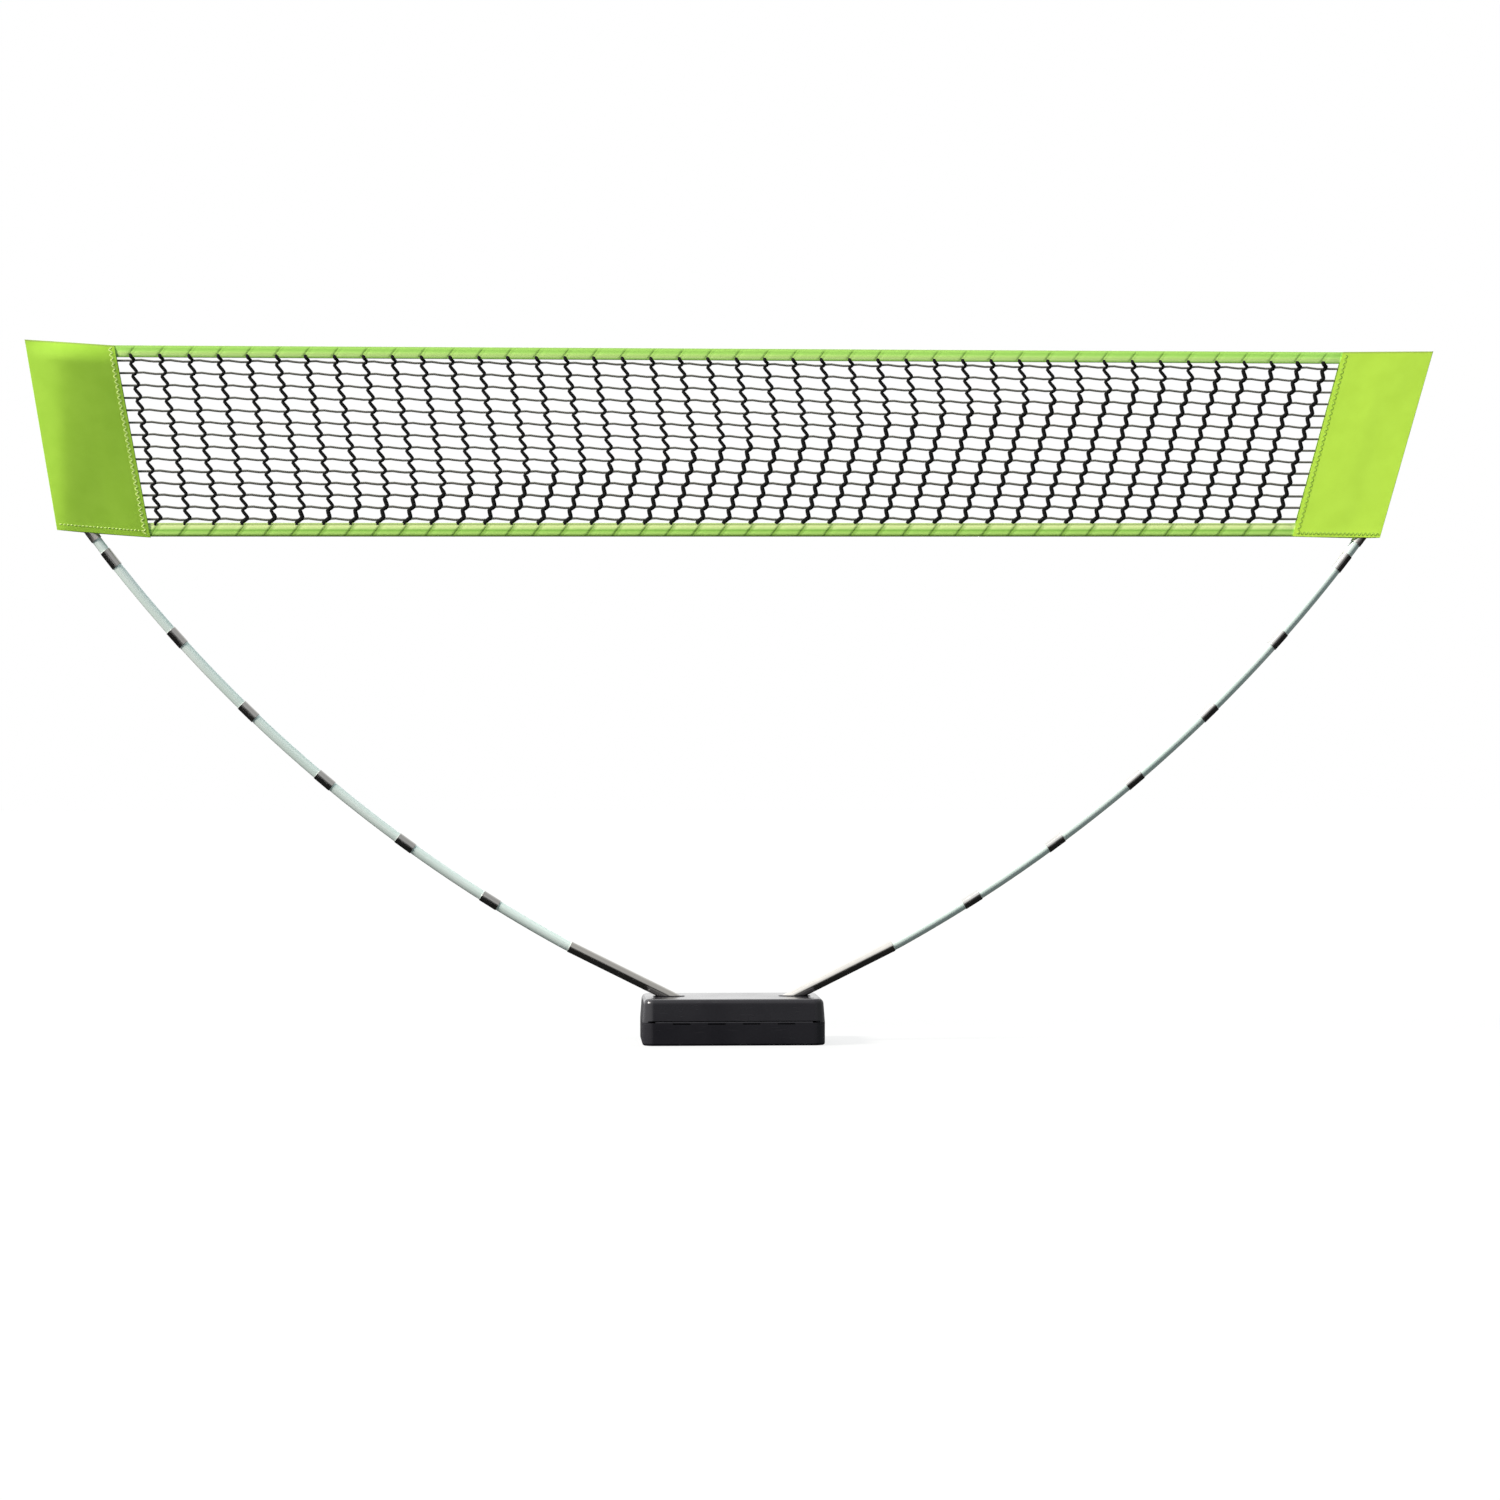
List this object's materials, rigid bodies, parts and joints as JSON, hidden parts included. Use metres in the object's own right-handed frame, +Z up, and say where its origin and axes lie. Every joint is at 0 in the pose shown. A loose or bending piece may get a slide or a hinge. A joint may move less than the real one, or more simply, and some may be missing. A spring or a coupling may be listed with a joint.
{
  "type": "portable volleyball net",
  "caption": "Free-standing net on two bowed sectional poles that plug into the lid of a storage-case base, with cloth end sleeves and taped edges.",
  "frame": {"origin": "on the floor, under the centre of the whole object's box; the net's plane lies 6.7 mm toward -Y of it", "axes": "+X along the net to the right as pictured, +Y away from the camera toward the latch and handle side, +Z up"},
  "size_m": [2.9998, 0.2484, 1.4812],
  "materials": {
    "case_plastic": "fine moulded texture, satin black",
    "pin_steel": "plain steel pins and screws",
    "tube_steel": "polished steel tube",
    "ferrule_steel": "dull drawn steel",
    "glass_fibre": "pale mint glass-fibre tube, semi-gloss",
    "plug_plastic": "black moulded plug",
    "elastic_cord": "white elastic shock cord",
    "sleeve_cloth": "lime-green woven polyester",
    "tape_cloth": "paler green folded tape",
    "net_cord": "black braided cord"
  },
  "bodies": {
    "tray": {"case_tray": "case_plastic", "hinge_pin": "pin_steel", "latch_pins": "pin_steel", "handle_pins": "pin_steel"},
    "lid": {"case_lid": "case_plastic", "clamp_screws": "pin_steel", "net_mesh": "net_cord", "top_tape": "tape_cloth", "bottom_tape": "tape_cloth", "socket_left": "case_plastic", "socket_right": "case_plastic", "socket_clamp_left": "case_plastic", "socket_clamp_right": "case_plastic"},
    "latch_left": {"latch_left": "case_plastic"},
    "latch_right": {"latch_right": "case_plastic"},
    "handle": {"carry_handle": "case_plastic"},
    "left_pole": {"lower_tube_left": "tube_steel", "end_plug_left": "plug_plastic", "upper_tube_left": "tube_steel", "tip_cap_left": "plug_plastic", "shock_cord_left": "elastic_cord", "sleeve_left": "sleeve_cloth", "fibre_left_1": "glass_fibre", "fibre_left_2": "glass_fibre", "fibre_left_3": "glass_fibre", "fibre_left_4": "glass_fibre", "fibre_left_5": "glass_fibre", "fibre_left_6": "glass_fibre", "fibre_left_7": "glass_fibre", "ferrule_left_1": "ferrule_steel", "ferrule_left_2": "ferrule_steel", "ferrule_left_3": "ferrule_steel", "ferrule_left_4": "ferrule_steel", "ferrule_left_5": "ferrule_steel", "ferrule_left_6": "ferrule_steel"},
    "right_pole": {"lower_tube_right": "tube_steel", "end_plug_right": "plug_plastic", "upper_tube_right": "tube_steel", "tip_cap_right": "plug_plastic", "shock_cord_right": "elastic_cord", "sleeve_right": "sleeve_cloth", "fibre_right_1": "glass_fibre", "fibre_right_2": "glass_fibre", "fibre_right_3": "glass_fibre", "fibre_right_4": "glass_fibre", "fibre_right_5": "glass_fibre", "fibre_right_6": "glass_fibre", "fibre_right_7": "glass_fibre", "ferrule_right_1": "ferrule_steel", "ferrule_right_2": "ferrule_steel", "ferrule_right_3": "ferrule_steel", "ferrule_right_4": "ferrule_steel", "ferrule_right_5": "ferrule_steel", "ferrule_right_6": "ferrule_steel"}
  },
  "joints": [
    {"name": "lid_hinge", "type": "hinge", "parent": "tray", "child": "lid", "pos_m": [0, -0.1208, 0.048], "axis": [1, 0, 0], "range_deg": [0, 90]},
    {"name": "latch_left_pivot", "type": "hinge", "parent": "tray", "child": "latch_left", "pos_m": [-0.115, 0.1158, 0.022], "axis": [-1, 0, 0], "range_deg": [0, 100]},
    {"name": "latch_right_pivot", "type": "hinge", "parent": "tray", "child": "latch_right", "pos_m": [0.115, 0.1158, 0.022], "axis": [-1, 0, 0], "range_deg": [0, 100]},
    {"name": "handle_pivot", "type": "hinge", "parent": "tray", "child": "handle", "pos_m": [0, 0.118, 0.036], "axis": [1, 0, 0], "range_deg": [0, 95]},
    {"name": "left_pole_slide", "type": "slide", "parent": "lid", "child": "left_pole", "axis": [-0.8949, 0, 0.4462], "range_m": [0, 0.095]},
    {"name": "right_pole_slide", "type": "slide", "parent": "lid", "child": "right_pole", "axis": [0.8949, 0, 0.4462], "range_m": [0, 0.095]}
  ]
}
